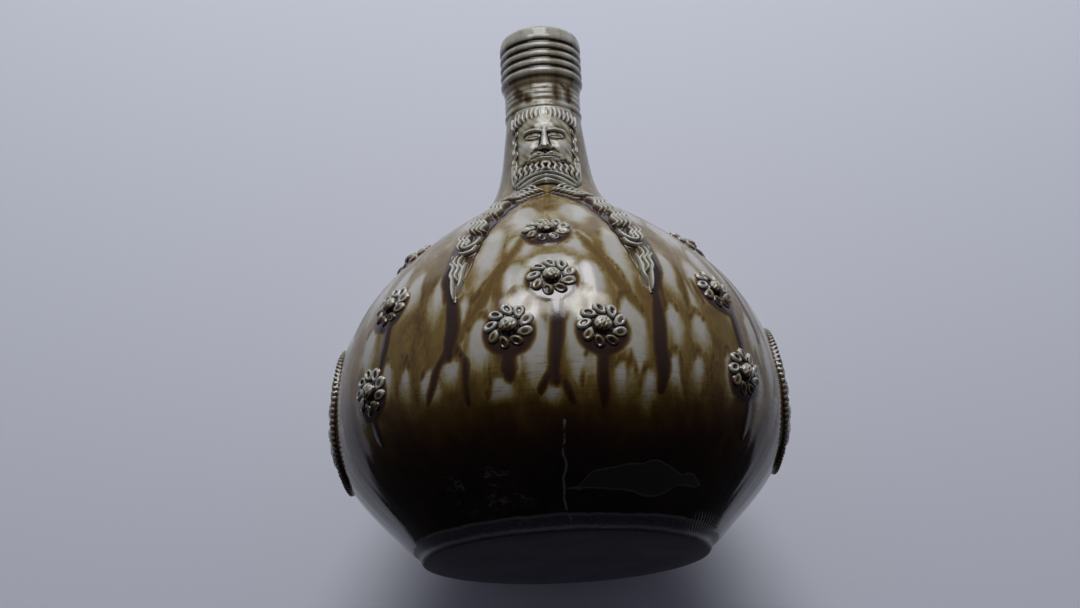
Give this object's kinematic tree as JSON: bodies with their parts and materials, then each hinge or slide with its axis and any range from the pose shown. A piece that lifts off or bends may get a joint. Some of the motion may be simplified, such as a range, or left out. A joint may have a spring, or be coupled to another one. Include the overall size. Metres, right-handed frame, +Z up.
{
  "type": "bartmann jug",
  "caption": "Round-bellied stoneware bottle with a narrow reeded neck, strap handle, bearded mask, rosettes and medallions; holds and pours drink.",
  "frame": {"origin": "middle of the flat base that the jug stands on", "axes": "+Z up along the jug's turning axis to the mouth; -Y is the front, where the mask looks"},
  "size_m": [0.1964, 0.1922, 0.24],
  "materials": {
    "tiger_glaze": "glossy salt glaze, pale grey-cream blotches under brown runs, almost black towards the foot",
    "handle_glaze": "glossy salt glaze, brown over pale grey-cream, thin on the edges",
    "mask_glaze": "glossy salt glaze, pale on the raised parts and brown in the hollows",
    "lock_glaze": "glossy salt glaze, pale on the strands and brown between them",
    "medallion_glaze": "glossy salt glaze, pale on the beads and brown in the hollows",
    "rosette_glaze": "glossy salt glaze, pale on the petals and dark brown round them"
  },
  "bodies": {
    "root": {"body": "tiger_glaze", "handle": "handle_glaze", "face_mask": "mask_glaze", "beard_lock_left": "lock_glaze", "beard_lock_right": "lock_glaze", "medallion_left": "medallion_glaze", "medallion_right": "medallion_glaze", "rosette_front_top": "rosette_glaze", "rosette_front_middle": "rosette_glaze", "rosette_front_left": "rosette_glaze", "rosette_front_right": "rosette_glaze", "rosette_left_upper_front": "rosette_glaze", "rosette_left_middle_front": "rosette_glaze", "rosette_left_lower_front": "rosette_glaze", "rosette_left_upper_back": "rosette_glaze", "rosette_left_middle_back": "rosette_glaze", "rosette_left_lower_back": "rosette_glaze", "rosette_right_upper_front": "rosette_glaze", "rosette_right_middle_front": "rosette_glaze", "rosette_right_lower_front": "rosette_glaze", "rosette_right_upper_back": "rosette_glaze", "rosette_right_middle_back": "rosette_glaze", "rosette_right_lower_back": "rosette_glaze"}
  },
  "joints": []
}
